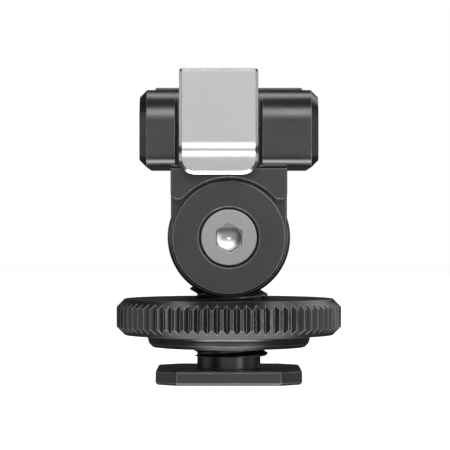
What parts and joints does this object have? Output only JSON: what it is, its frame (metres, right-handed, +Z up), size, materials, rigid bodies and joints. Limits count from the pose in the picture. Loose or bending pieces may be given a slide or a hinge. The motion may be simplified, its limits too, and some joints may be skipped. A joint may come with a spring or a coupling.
{
  "type": "shoe mount tilt bracket",
  "caption": "Small tilt bracket with a camera shoe foot and knurled lock wheel below, a friction hinge in the middle and a latch-lever plate holder on top.",
  "frame": {"origin": "centre of the shoe foot's underside", "axes": "+Z up from the foot to the plate seat, -Y towards the latch lever, +Y towards the fixed jaw, X along the quick-release plate's edges"},
  "size_m": [0.0288, 0.0288, 0.0395],
  "materials": {
    "black_aluminium": "bead-blasted and anodised satin black",
    "silver_aluminium": "fine bead-blasted, clear anodised, with bright-cut edges",
    "stainless": "satin stainless steel",
    "black_steel": "black oxide steel",
    "brass": "turned brass",
    "nylon": "smooth black nylon"
  },
  "bodies": {
    "base": {"shoe_foot": "black_aluminium", "foot_screw": "black_steel", "foot_dowels": "stainless", "hinge_post": "black_aluminium", "hinge_bush": "brass", "friction_washer_front": "nylon", "friction_washer_rear": "nylon"},
    "wheel_ring": {"thrust_ring": "nylon"},
    "wheel": {"lock_wheel": "black_aluminium"},
    "head": {"tilt_yoke": "black_aluminium", "tension_cap": "black_aluminium", "nut_cap": "black_aluminium", "hinge_screw": "stainless", "hinge_nut": "stainless", "disc_spring": "stainless", "cap_dowels": "stainless", "clamp_block": "black_aluminium", "block_screws": "black_steel", "block_dowels": "stainless", "lever_pin": "stainless", "lever_spring_left": "stainless", "lever_spring_right": "stainless", "fixed_jaw": "black_aluminium", "jaw_screws": "black_steel"},
    "lever": {"latch_lever": "silver_aluminium"}
  },
  "joints": [
    {"name": "head_tilt", "type": "hinge", "parent": "base", "child": "head", "pos_m": [0, 0, 0.01852], "axis": [0, 1, 0], "range_deg": [-70, 70]},
    {"name": "wheel_travel", "type": "slide", "parent": "base", "child": "wheel_ring", "axis": [0, 0, -1], "range_m": [0, 0.0025]},
    {"name": "wheel_turn", "type": "hinge", "parent": "wheel_ring", "child": "wheel", "pos_m": [0, 0, 0], "axis": [0, 0, -1], "range_deg": [0, 601]},
    {"name": "lever_press", "type": "hinge", "parent": "head", "child": "lever", "pos_m": [0, -0.009, 0.0332], "axis": [1, 0, 0], "range_deg": [0, 9], "stiffness_Nm_per_rad": 0.02, "springref_deg": -11.46, "deforming": ["lever_spring_left", "lever_spring_right"]}
  ],
  "couplings": [
    {"joint": "wheel_turn", "follows": "wheel_travel", "rad_per_m": 4188.8}
  ]
}
